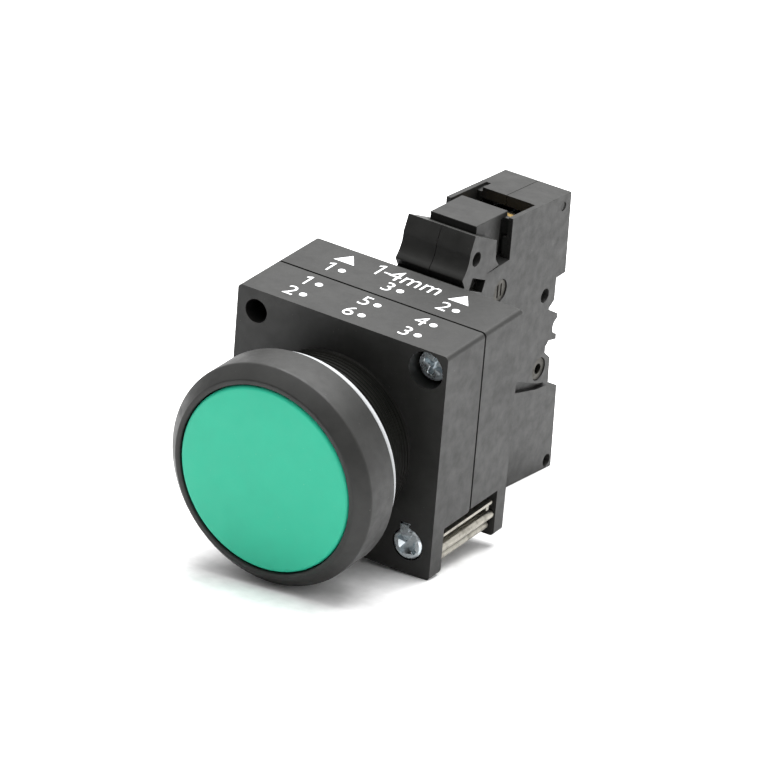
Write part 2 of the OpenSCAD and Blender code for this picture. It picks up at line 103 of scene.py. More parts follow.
class NodeBench:
    """Builds one node material, with patterns measured in object coordinates."""

    OCTAVE_WEIGHT = 0.6

    def __init__(self, name: str) -> None:
        """Starts an empty node material.

        Args:
            name: the material's name.
        """
        self.material = bpy.data.materials.new(name)
        self.material.use_nodes = True
        self.tree = self.material.node_tree
        self.shader = self.tree.nodes["Principled BSDF"]
        self.place = self.tree.nodes.new("ShaderNodeTexCoord")

    def link(self, output: bpy.types.NodeSocket, target: bpy.types.NodeSocket) -> None:
        """Joins two sockets."""
        self.tree.links.new(output, target)

    def noise(self, grain_mm: float, detail: float, stretch: Vector | None = None) -> bpy.types.NodeSocket:
        """Adds a noise pattern.

        Args:
            grain_mm: size of one grain, in millimetres.
            detail: octaves of finer noise.
            stretch: how much the pattern is squeezed along each axis.

        Returns:
            The pattern's value socket.
        """
        squeeze = self.tree.nodes.new("ShaderNodeMapping")
        squeeze.inputs["Scale"].default_value = stretch or Vector((1, 1, 1))
        self.link(self.place.outputs["Object"], squeeze.inputs["Vector"])
        pattern = self.tree.nodes.new("ShaderNodeTexNoise")
        pattern.inputs["Scale"].default_value = 1 / (grain_mm * MM)
        pattern.inputs["Detail"].default_value = detail
        pattern.inputs["Roughness"].default_value = self.OCTAVE_WEIGHT
        self.link(squeeze.outputs["Vector"], pattern.inputs["Vector"])
        return pattern.outputs["Fac"]

    def span(self, value: bpy.types.NodeSocket, low: float, high: float,
             start: float = 0.3, end: float = 0.7) -> bpy.types.NodeSocket:
        """Maps a pattern onto a range of numbers.

        Args:
            value: the pattern.
            low: the number at the pattern's start.
            high: the number at the pattern's end.
            start: where the pattern starts to count.
            end: where the pattern stops counting.

        Returns:
            The mapped value's socket.
        """
        mapped = self.tree.nodes.new("ShaderNodeMapRange")
        mapped.inputs["From Min"].default_value = start
        mapped.inputs["From Max"].default_value = end
        mapped.inputs["To Min"].default_value = low
        mapped.inputs["To Max"].default_value = high
        self.link(value, mapped.inputs["Value"])
        return mapped.outputs["Result"]

    def colours(self, value: bpy.types.NodeSocket,
                stops: list[tuple[float, Vector]]) -> bpy.types.NodeSocket:
        """Maps a pattern onto colours.

        Args:
            value: the pattern.
            stops: places on the ramp and their colours.

        Returns:
            The colour socket.
        """
        ramp = self.tree.nodes.new("ShaderNodeValToRGB")
        band = ramp.color_ramp
        while len(band.elements) < len(stops):
            band.elements.new(0.5)
        for element, (place, colour) in zip(band.elements, stops):
            element.position = place
            element.color = (*colour, 1.0)
        self.link(value, ramp.inputs["Fac"])
        return ramp.outputs["Color"]

    def blend(self, value: bpy.types.NodeSocket, first: bpy.types.NodeSocket,
              second: Vector) -> bpy.types.NodeSocket:
        """Mixes a second colour over a first one where a pattern is high.

        Args:
            value: the pattern.
            first: the colour under it.
            second: the colour over it.

        Returns:
            The mixed colour's socket.
        """
        mix = self.tree.nodes.new("ShaderNodeMix")
        mix.data_type = "RGBA"
        self.link(value, mix.inputs[0])
        self.link(first, mix.inputs[6])
        mix.inputs[7].default_value = (*second, 1.0)
        return mix.outputs[2]

    def bump(self, heights: list[tuple[bpy.types.NodeSocket, float]]) -> None:
        """Stacks bumps and leads them to the shader.

        Args:
            heights: each pattern and how high it stands, in millimetres.
        """
        below = None
        for height, depth_mm in heights:
            bump = self.tree.nodes.new("ShaderNodeBump")
            bump.inputs["Strength"].default_value = 1.0
            bump.inputs["Distance"].default_value = depth_mm * MM
            self.link(height, bump.inputs["Height"])
            if below is not None:
                self.link(below, bump.inputs["Normal"])
            below = bump.outputs["Normal"]
        self.link(below, self.shader.inputs["Normal"])


@dataclass(frozen=True)
class MouldedPlastic:
    """Moulded plastic with a fine spark grain, faint flow marks and a few light specks."""

    colour: Vector
    roughness: float = 0.45
    roughness_swing: float = 0.08
    shade_swing: float = 0.25
    grain_mm: float = 0.11
    grain_depth_mm: float = 0.006
    wave_mm: float = 4.0
    wave_depth_mm: float = 0.003
    wear_mm: float = 1.6
    speck_mm: float = 0.35
    speck_colour: Vector = field(default_factory=lambda: Vector((0.2, 0.2, 0.19)))
    speck_level: float = 0.735
    speck_edge: float = 0.03
    specular: float = 0.5

    def build(self, name: str) -> bpy.types.Material:
        """Builds the material.

        Args:
            name: the material's name.

        Returns:
            The finished material.
        """
        bench = NodeBench(name)
        dark = self.colour * (1 - self.shade_swing)
        light = self.colour * (1 + self.shade_swing)
        clouds = bench.noise(self.wave_mm, 5)
        specks = bench.noise(self.speck_mm, 2)
        grain = bench.noise(self.grain_mm, 2)
        base = bench.colours(clouds, [(0.3, dark), (0.7, light)])
        dusted = bench.blend(bench.span(specks, 0, 1, self.speck_level, self.speck_level + self.speck_edge),
                             base, self.speck_colour)
        bench.link(dusted, bench.shader.inputs["Base Color"])
        bench.link(bench.span(bench.noise(self.wear_mm, 4), self.roughness - self.roughness_swing,
                              self.roughness + self.roughness_swing), bench.shader.inputs["Roughness"])
        bench.shader.inputs["Specular IOR Level"].default_value = self.specular
        bench.bump([(clouds, self.wave_depth_mm), (grain, self.grain_depth_mm)])
        return bench.material


@dataclass(frozen=True)
class PlatedMetal:
    """Plated or rolled metal with fine draw lines along one axis and dull stains."""

    colour: Vector
    stain: Vector
    roughness: float = 0.3
    line_mm: float = 0.25
    line_axis: Vector = field(default_factory=lambda: Vector((1, 0.06, 1)))
    line_depth_mm: float = 0.004
    line_shade: float = 0.82
    stain_mm: float = 1.2
    stain_cover: float = 0.8
    stain_level: float = 0.5
    stain_edge: float = 0.2
    stain_dulling: float = 0.2

    def build(self, name: str) -> bpy.types.Material:
        """Builds the material.

        Args:
            name: the material's name.

        Returns:
            The finished material.
        """
        bench = NodeBench(name)
        lines = bench.noise(self.line_mm, 3, self.line_axis)
        stains = bench.noise(self.stain_mm, 5)
        base = bench.colours(lines, [(0.3, self.colour * self.line_shade), (0.7, self.colour)])
        cover = bench.span(stains, 0, self.stain_cover, self.stain_level, self.stain_level + self.stain_edge)
        dulled = bench.blend(cover, base, self.stain)
        bench.link(dulled, bench.shader.inputs["Base Color"])
        bench.shader.inputs["Metallic"].default_value = 1.0
        bench.link(bench.span(stains, self.roughness, self.roughness + self.stain_dulling),
                   bench.shader.inputs["Roughness"])
        bench.bump([(lines, self.line_depth_mm)])
        return bench.material


@dataclass(frozen=True)
class SoftRubber:
    """Rubber or soft gasket board with a dull, slightly uneven skin."""

    colour: Vector
    roughness: float = 0.75
    roughness_swing: float = 0.1
    skin_mm: float = 0.5
    skin_depth_mm: float = 0.02
    patch_mm: float = 2.5
    patch_shade: float = 0.85

    def build(self, name: str) -> bpy.types.Material:
        """Builds the material.

        Args:
            name: the material's name.

        Returns:
            The finished material.
        """
        bench = NodeBench(name)
        skin = bench.noise(self.skin_mm, 4)
        patches = bench.noise(self.patch_mm, 3)
        base = bench.colours(patches, [(0.3, self.colour * self.patch_shade), (0.7, self.colour)])
        bench.link(base, bench.shader.inputs["Base Color"])
        bench.link(bench.span(skin, self.roughness - self.roughness_swing,
                              self.roughness + self.roughness_swing), bench.shader.inputs["Roughness"])
        bench.bump([(skin, self.skin_depth_mm)])
        return bench.material


@dataclass(frozen=True)
class PadInk:
    """Pad-printed ink, thin enough in places to let the plastic through."""

    colour: Vector
    under: Vector
    grain_mm: float = 0.18
    grain_depth_mm: float = 0.003
    thin_level: float = 0.22
    full_level: float = 0.36
    roughness_low: float = 0.5
    roughness_high: float = 0.65

    def build(self, name: str) -> bpy.types.Material:
        """Builds the material.

        Args:
            name: the material's name.

        Returns:
            The finished material.
        """
        bench = NodeBench(name)
        cover = bench.noise(self.grain_mm, 3)
        base = bench.colours(cover, [(self.thin_level, self.under), (self.full_level, self.colour)])
        bench.link(base, bench.shader.inputs["Base Color"])
        bench.link(bench.span(cover, self.roughness_low, self.roughness_high),
                   bench.shader.inputs["Roughness"])
        bench.bump([(cover, self.grain_depth_mm)])
        return bench.material


FINISHES: dict[Coat, MouldedPlastic | PlatedMetal | SoftRubber | PadInk] = {
    Coat.BLACK_PLASTIC: MouldedPlastic(Vector((0.0165, 0.0165, 0.0155)), roughness=0.48, specular=0.3,
                                       speck_colour=Vector((0.075, 0.073, 0.066)), speck_level=0.75),
    # The neck's dark plastic is about three times darker than the black plastic: the extra darkness is
    # painted shade for the recess between gasket and holder.
    Coat.DARK_PLASTIC: MouldedPlastic(Vector((0.005, 0.005, 0.004)), roughness=0.55, specular=0.12,
                                      speck_colour=Vector((0.03, 0.03, 0.025))),
    Coat.GREEN_PLASTIC: MouldedPlastic(Vector((0.018, 0.415, 0.258)), specular=0.3, shade_swing=0.03,
                                       grain_mm=0.16, grain_depth_mm=0.007,
                                       speck_colour=Vector((0.25, 0.6, 0.45)), speck_level=0.755),
    Coat.LIGHT_PLASTIC: MouldedPlastic(Vector((0.6, 0.6, 0.57)), shade_swing=0.06),
    Coat.RED_PLASTIC: MouldedPlastic(Vector((0.5, 0.03, 0.02)), shade_swing=0.08),
    Coat.BLACK_RUBBER: SoftRubber(Vector((0.018, 0.018, 0.018))),
    Coat.PALE_GASKET: SoftRubber(Vector((0.42, 0.43, 0.44)), roughness=0.6, skin_depth_mm=0.01),
    Coat.SPRING_STEEL: PlatedMetal(Vector((0.6, 0.6, 0.6)), Vector((0.25, 0.24, 0.22)), line_mm=0.1),
    Coat.ZINC_STEEL: PlatedMetal(Vector((0.72, 0.78, 0.81)), Vector((0.36, 0.41, 0.44)), roughness=0.2,
                                 line_depth_mm=0.0015, stain_level=0.58),
    Coat.ZINC_CASTING: PlatedMetal(Vector((0.37, 0.355, 0.31)), Vector((0.16, 0.15, 0.13)), roughness=0.34,
                                   line_mm=0.35, line_axis=Vector((0.3, 1, 1)), line_depth_mm=0.01),
    Coat.DARK_RIVET: PlatedMetal(Vector((0.058, 0.055, 0.048)), Vector((0.025, 0.024, 0.021)),
                                 roughness=0.42),
    Coat.BRASS_STRIP: PlatedMetal(Vector((0.72, 0.5, 0.2)), Vector((0.3, 0.17, 0.06)), roughness=0.28),
    Coat.SILVER_TIP: PlatedMetal(Vector((0.8, 0.8, 0.8)), Vector((0.35, 0.33, 0.3)), roughness=0.25),
    Coat.WHITE_INK: PadInk(Vector((0.86, 0.87, 0.88)), Vector((0.25, 0.25, 0.25))),
    Coat.PAPER_FLOOR: SoftRubber(Vector((0.93, 0.93, 0.93)), roughness=0.9, skin_depth_mm=0.005),
}


class PaintShop:
    """Mixes each finish once and hands it out."""

    def __init__(self) -> None:
        """Starts with no finish mixed."""
        self.mixed: dict[Coat, bpy.types.Material] = {}

    def get(self, coat: Coat) -> bpy.types.Material:
        """Hands out a finish's material, built at its first use.

        Args:
            coat: the finish.

        Returns:
            The finish's material.
        """
        if coat not in self.mixed:
            self.mixed[coat] = FINISHES[coat].build(coat.value + "_finish")
        return self.mixed[coat]

    def dress(self, piece: bpy.types.Object, coat: Coat) -> None:
        """Gives a made piece one finish all over.

        Args:
            piece: the piece.
            coat: its finish.
        """
        piece.data.materials.clear()
        piece.data.materials.append(self.get(coat))

    def dress_frame(self) -> None:
        """Gives every node of the frame the finish that its record slot names."""
        for part in frame["record"]["subparts"]:
            node = frame["nodes"][part["node"]]
            coat = Coat(part["material_slot"])
            if not node.material_slots:
                node.data.materials.append(self.get(coat))
            for holder in node.material_slots:
                holder.material = self.get(coat)


# ---------------------------------------------------------------- modelling by hand


def deselect_all() -> None:
    """Leaves object mode ready, with nothing selected."""
    if bpy.context.object and bpy.context.object.mode != "OBJECT":
        bpy.ops.object.mode_set(mode="OBJECT")
    bpy.ops.object.select_all(action="DESELECT")


def pick(piece: bpy.types.Object) -> None:
    """Selects one object alone and makes it active."""
    deselect_all()
    piece.select_set(True)
    bpy.context.view_layer.objects.active = piece


def settle(piece: bpy.types.Object) -> None:
    """Moves an object's place, turn and size into its mesh."""
    pick(piece)
    bpy.ops.object.transform_apply(location=True, rotation=True, scale=True)


def join(pieces: list[bpy.types.Object], name: str) -> bpy.types.Object:
    """Joins several objects into one.

    Args:
        pieces: the objects, the first of which stays.
        name: the joined object's name.

    Returns:
        The joined object.
    """
    pick(pieces[0])
    for piece in pieces[1:]:
        piece.select_set(True)
    if len(pieces) > 1:
        bpy.ops.object.join()
    pieces[0].name = name
    pieces[0].data.name = name
    return pieces[0]


def apply_bevel(piece: bpy.types.Object, width_mm: float, segments: int = 3, angle: float = 32.0) -> None:
    """Rounds every edge that is sharper than an angle.

    Args:
        piece: the piece.
        width_mm: the bevel's width.
        segments: faces across the bevel.
        angle: smallest turn that counts as an edge, in degrees.
    """
    pick(piece)
    bevel = piece.modifiers.new("edge_bevel", "BEVEL")
    bevel.width = width_mm * MM
    bevel.segments = segments
    bevel.limit_method = "ANGLE"
    bevel.angle_limit = math.radians(angle)
    bevel.miter_outer = "MITER_ARC"
    bpy.ops.object.modifier_apply(modifier=bevel.name)


def smooth(piece: bpy.types.Object, angle: float) -> None:
    """Shades a piece smooth up to an angle, in degrees."""
    pick(piece)
    bpy.ops.object.shade_smooth_by_angle(angle=math.radians(angle))


def hold_flats(piece: bpy.types.Object) -> None:
    """Lets the large faces keep their own shading, so that only the rounded edges look round."""
    pick(piece)
    weighting = piece.modifiers.new("flat_weighting", "WEIGHTED_NORMAL")
    weighting.mode = "FACE_AREA_WITH_ANGLE"
    weighting.weight = 100
    weighting.keep_sharp = True
    bpy.ops.object.modifier_apply(modifier=weighting.name)


def arc(centre: Point, radius: float, start: float, end: float, steps: int = 6) -> list[Point]:
    """Works out the points of an arc.

    Args:
        centre: the arc's centre.
        radius: its radius.
        start: its first angle, in degrees.
        end: its last angle, in degrees.
        steps: stretches between the points.

    Returns:
        The points, first to last.
    """
    angles = [math.radians(start + (end - start) * i / steps) for i in range(steps + 1)]
    return [(centre[0] + radius * math.cos(a), centre[1] + radius * math.sin(a)) for a in angles]


def draw_outline(points: list[Vector], name: str) -> bpy.types.Object:
    """Draws a line of edges by pulling one vertex from point to point, and stays in edit mode.

    Args:
        points: the corners, in millimetres.
        name: the new object's name.

    Returns:
        The object, in edit mode with its whole outline selected.
    """
    deselect_all()
    bpy.ops.mesh.primitive_plane_add(size=0.2 * MM, location=points[0] * MM)
    piece = bpy.context.object
    piece.name = piece.data.name = name
    bpy.ops.object.transform_apply(location=True, rotation=True, scale=True)
    bpy.ops.object.mode_set(mode="EDIT")
    bpy.ops.mesh.select_mode(type="VERT")
    bpy.ops.mesh.select_all(action="SELECT")
    bpy.ops.mesh.merge(type="CENTER")
    for here, there in zip(points, points[1:]):
        bpy.ops.mesh.extrude_vertices_move(
            MESH_OT_extrude_verts_indiv={}, TRANSFORM_OT_translate={"value": (there - here) * MM})
    bpy.ops.mesh.select_all(action="SELECT")
    return piece


def turn_profile(outline: list[Point], name: str, steps: int, closed: bool = True) -> bpy.types.Object:
    """Turns an outline about the button's axis, as on a lathe.

    Args:
        outline: radius and depth of each corner, in millimetres.
        name: the piece's name.
        steps: faces round the piece.
        closed: whether the outline's last point meets its first one.

    Returns:
        The turned piece, with its faces outwards.
    """
    corners = outline + [outline[0]] if closed else outline
    piece = draw_outline([Vector((r, y, 0)) for r, y in corners], name)
    bpy.ops.mesh.spin(steps=steps, angle=math.tau, center=(0, 0, 0), axis=(0, 1, 0))
    bpy.ops.mesh.select_all(action="SELECT")
    bpy.ops.mesh.remove_doubles(threshold=WELD)
    bpy.ops.mesh.normals_make_consistent(inside=False)
    bpy.ops.object.mode_set(mode="OBJECT")
    return piece


def loose_copy(node: str, name: str) -> bpy.types.Object:
    """Copies a frame node and merges the corners of its triangles.

    Args:
        node: the frame node.
        name: the copy's name.

    Returns:
        The copy, which no longer hangs on the node's body.
    """
    pick(frame["nodes"][node])
    bpy.ops.object.duplicate()
    piece = bpy.context.object
    piece.parent = None
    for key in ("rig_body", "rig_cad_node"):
        if key in piece:
            del piece[key]
    piece.name = piece.data.name = name
    bpy.ops.object.mode_set(mode="EDIT")
    bpy.ops.mesh.select_all(action="SELECT")
    bpy.ops.mesh.customdata_custom_splitnormals_clear()
    bpy.ops.mesh.remove_doubles(threshold=WELD)
    bpy.ops.object.mode_set(mode="OBJECT")
    return piece


def trued_copy(node: str, name: str, bevel_mm: float, segments: int = 2) -> bpy.types.Object:
    """Makes a rounded piece out of a copy of a frame node: flats dissolved, edges bevelled.

    Args:
        node: the frame node.
        name: the piece's name.
        bevel_mm: width of the rounded edges.
        segments: faces across each rounded edge.

    Returns:
        The piece, which no longer hangs on the node's body.
    """
    piece = loose_copy(node, name)
    bpy.ops.object.mode_set(mode="EDIT")
    bpy.ops.mesh.dissolve_limited(angle_limit=math.radians(0.5))
    bpy.ops.object.mode_set(mode="OBJECT")
    apply_bevel(piece, bevel_mm, segments)
    smooth(piece, 50)
    hold_flats(piece)
    return piece


# ---------------------------------------------------------------- front parts


@dataclass
class FrontRing:
    """The bezel with its gasket, both turned on the button's axis. Sizes in millimetres, turns in degrees."""

    shop: PaintShop
    bore: float = 12.02
    bore_round: float = 0.22
    rim_land: float = 0.5
    rim_round: float = 0.35
    cone_depth: float = 1.45
    cone_turn: float = -36.0
    shoulder_round: float = 0.6
    shoulder_depth: float = 0.45
    back_round: float = 0.35
    hub: float = 10.3
    floor: float = 1.36
    gasket_hole: float = 11.65
    front_play: float = 0.01
    rear_play: float = 0.03
    lip_front: float = 1.0
    lip_groove: float = 0.15
    lip_rear: float = 0.8
    crease: float = 40.0

    def __post_init__(self) -> None:
        """Reads the outer sizes from the frame."""
        low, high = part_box("bezel")
        self.radius = high.x / MM
        self.front = low.y / MM
        self.back = high.y / MM
        low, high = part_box("panel_gasket")
        self.gasket_radius = (high.x - low.x) / 2 / MM
        self.gasket_middle = Vector(((low.x + high.x) / 2, 0, (low.z + high.z) / 2))
        self.gasket_back = high.y / MM

    def make_bezel(self) -> bpy.types.Object:
        """Turns the bezel, with a soft rim, a cone and a rounded shoulder."""
        shoulder = (self.radius - self.shoulder_round, self.front + self.cone_depth + self.shoulder_depth)
        outline = (
            [(self.bore, self.back - self.floor)]
            + arc((self.bore + self.bore_round, self.front + self.bore_round), self.bore_round, 180, 270, 5)
            + arc((self.bore + self.rim_land, self.front + self.rim_round), self.rim_round,
                  -90, self.cone_turn, 4)
            + arc(shoulder, self.shoulder_round, self.cone_turn, 0, 8)
            + arc((self.radius - self.back_round, self.back - self.back_round), self.back_round, 0, 90, 5)
            + [(self.hub, self.back), (self.hub, self.back - self.floor)]
        )
        piece = turn_profile(outline, "bezel_ring", 224)
        smooth(piece, self.crease)
        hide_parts("bezel")
        return piece

    def make_gasket(self) -> bpy.types.Object:
        """Turns the gasket, with a bead round its edge."""
        bead = (self.gasket_back - self.back) / 2
        front = self.back + self.front_play
        rear = self.gasket_back - self.rear_play
        lip = self.gasket_radius - self.lip_front
        outline = (
            [(self.gasket_hole, front), (lip, front), (lip + self.lip_groove, self.back + self.lip_groove)]
            + arc((self.gasket_radius - bead, self.back + bead), bead, -70, 80, 10)
            + [(self.gasket_radius - self.lip_rear, rear), (self.gasket_hole, rear)]
        )
        piece = turn_profile(outline, "gasket_ring", 192)
        piece.location = self.gasket_middle
        settle(piece)
        smooth(piece, self.crease)
        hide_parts("panel_gasket")
        return piece

    def build(self) -> None:
        """Makes, dresses and hangs both rings."""
        rings = ((self.make_bezel(), Coat.BLACK_PLASTIC), (self.make_gasket(), Coat.PALE_GASKET))
        for piece, coat in rings:
            self.shop.dress(piece, coat)
            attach(piece, "actuator")
            LOG.info("made %s", piece.name)


@dataclass
class ButtonCap:
    """The green cap, with a faint dome and a soft edge. Sizes in millimetres."""

    shop: PaintShop
    edge: float = 0.55
    edge_lift: float = 0.01
    dome: float = 0.12
    dome_shares: tuple[float, ...] = (0.0, 0.2, 0.4, 0.6, 0.8)
    wall: float = 0.9
    recess: float = 0.25

    def build(self) -> None:
        """Makes, dresses and hangs the cap."""
        low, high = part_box("button_cap")
        radius, front, back = high.x / MM, low.y / MM, high.y / MM
        shelf = front + self.dome
        inside = back - self.recess
        crown = [(radius * share, shelf - self.dome * (1 - share ** 2)) for share in self.dome_shares]
        outline = (
            crown
            + arc((radius - self.edge, shelf + self.edge - self.edge_lift), self.edge, -90, 0, 8)
            + [(radius, back), (radius - self.wall, back), (radius - self.wall, inside), (0.0, inside)]
        )
        piece = turn_profile(outline, "cap_disc", 224, closed=False)
        smooth(piece, 40)
        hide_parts("button_cap")
        self.shop.dress(piece, Coat.GREEN_PLASTIC)
        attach(piece, "button")
        LOG.info("made %s", piece.name)


@dataclass
class RibbedNeck:
    """The neck between gasket and holder, with fine ribs round it. Sizes in millimetres."""

    shop: PaintShop
    radius: float = 11.0
    rear_radius: float = 10.6
    rib_pitch: float = 0.6
    rib_depth: float = 0.14
    rib_shares: tuple[float, float, float] = (0.45, 0.6, 0.85)
    first_rib: float = 0.45
    last_rib: float = 7.1
    holder_face: float = 7.2
    guide: float = 8.58
    guide_end: float = 6.0
    pocket: float = 9.6

    def draw_ribs(self) -> list[Point]:
        """Works out the ribs' outline, from the panel to the holder."""
        ribs: list[Point] = []
        valley = self.radius - self.rib_depth
        crest_end, valley_start, valley_end = (self.rib_pitch * share for share in self.rib_shares)
        depth = self.first_rib
        while depth + self.rib_pitch < self.last_rib:
            ribs += [(self.radius, depth), (self.radius, depth + crest_end), (valley, depth + valley_start),
                     (valley, depth + valley_end)]
            depth += self.rib_pitch
        return ribs

    def build(self) -> None:
        """Makes, dresses and hangs the neck."""
        low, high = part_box("neck_sleeve")
        flange, front, back = high.x / MM, low.y / MM, high.y / MM
        outline = (
            [(self.guide, front), (flange, front), (flange, 0.0), (self.radius, 0.0)]
            + self.draw_ribs()
            + [(self.radius, self.holder_face), (self.rear_radius, self.holder_face),
               (self.rear_radius, back), (self.pocket, back), (self.pocket, self.guide_end),
               (self.guide, self.guide_end)]
        )
        piece = turn_profile(outline, "neck_ribs", 160)
        smooth(piece, 25)
        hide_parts("neck_sleeve")
        # The finish's extra darkness paints in the shade that falls on the neck between the gasket and the
        # holder.
        self.shop.dress(piece, Coat.DARK_PLASTIC)
        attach(piece, "actuator")
        LOG.info("made %s", piece.name)


@dataclass
class CoilSprings:
    """The coil springs, with round wire, each hung on its body without being shortened.

    The plan gives each spring's name, body, joint, the depth of its fixed end in millimetres, and the
    share of its length that is left at the joint's limit.
    """

    shop: PaintShop
    plan: tuple[tuple[str, str, str, float, float], ...] = (
        ("return_spring", "actuator", "button_press", 15.65, 0.812),
        ("tappet_spring", "block", "contact_press", 45.45, 0.638),
        ("contact_spring", "tappet", "bridge_lift", 26.05, 0.66),
    )

    def make_wire(self, node: str) -> bpy.types.Object:
        """Makes a rounder copy of a spring.

        Args:
            node: the spring's frame node.

        Returns:
            The spring with smooth wire.
        """
        piece = loose_copy(node, node + "_wire")
        bpy.ops.object.mode_set(mode="EDIT")
        bpy.ops.mesh.tris_convert_to_quads()
        bpy.ops.object.mode_set(mode="OBJECT")
        rounding = piece.modifiers.new("wire_rounding", "SUBSURF")
        rounding.levels = 1
        bpy.ops.object.modifier_apply(modifier=rounding.name)
        smooth(piece, 60)
        return piece

    def build(self) -> None:
        """Makes, dresses and hangs the springs."""
        for node, body, joint, seat, keep in self.plan:
            piece = self.make_wire(node)
            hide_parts(node)
            self.shop.dress(piece, Coat.SPRING_STEEL)
            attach(piece, body)
            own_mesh(piece)
            LOG.info("made %s", piece.name)


# ---------------------------------------------------------------- holder


@dataclass
class RoundedNodes:
    """Frame nodes with rounded edges: name, body, finish, bevel width in millimetres and bevel segments."""

    shop: PaintShop
    plan: tuple[tuple[str, str, Coat, float, int], ...] = (
        ("holder_front", "holder", Coat.BLACK_PLASTIC, 0.22, 3),
        ("holder_rear", "holder", Coat.BLACK_PLASTIC, 0.16, 3),
        ("fixing_screw", "holder", Coat.ZINC_STEEL, 0.12, 3),
        ("clamp_insert_right", "holder", Coat.ZINC_CASTING, 0.06, 2),
        ("clamp_insert_left", "holder", Coat.ZINC_CASTING, 0.06, 2),
        ("pressure_foot_right", "foot_right", Coat.ZINC_STEEL, 0.13, 3),
        ("pressure_foot_left", "foot_left", Coat.ZINC_STEEL, 0.13, 3),
        ("clamp_screw_right", "screw_right", Coat.ZINC_STEEL, 0.1, 2),
        ("clamp_screw_left", "screw_left", Coat.ZINC_STEEL, 0.1, 2),
        ("block_shell_right", "block", Coat.BLACK_PLASTIC, 0.1, 2),
        ("block_shell_left", "block", Coat.BLACK_PLASTIC, 0.1, 2),
        ("block_rivets", "block", Coat.DARK_RIVET, 0.1, 2),
        ("terminal_box", "block", Coat.BLACK_PLASTIC, 0.12, 2),
        ("terminal_screw_upper", "wire_screw_upper", Coat.ZINC_STEEL, 0.1, 2),
        ("terminal_screw_lower", "wire_screw_lower", Coat.ZINC_STEEL, 0.1, 2),
        ("terminal_yoke_upper", "wire_cage_upper", Coat.ZINC_STEEL, 0.1, 2),
        ("terminal_yoke_lower", "wire_cage_lower", Coat.ZINC_STEEL, 0.1, 2),
    )

    def build(self) -> None:
        """Makes, dresses and hangs each rounded piece."""
        for node, body, coat, bevel, segments in self.plan:
            piece = trued_copy(node, node + "_rounded", bevel, segments)
            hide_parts(node)
            self.shop.dress(piece, coat)
            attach(piece, body)
            LOG.info("made %s with %d faces", piece.name, len(piece.data.polygons))


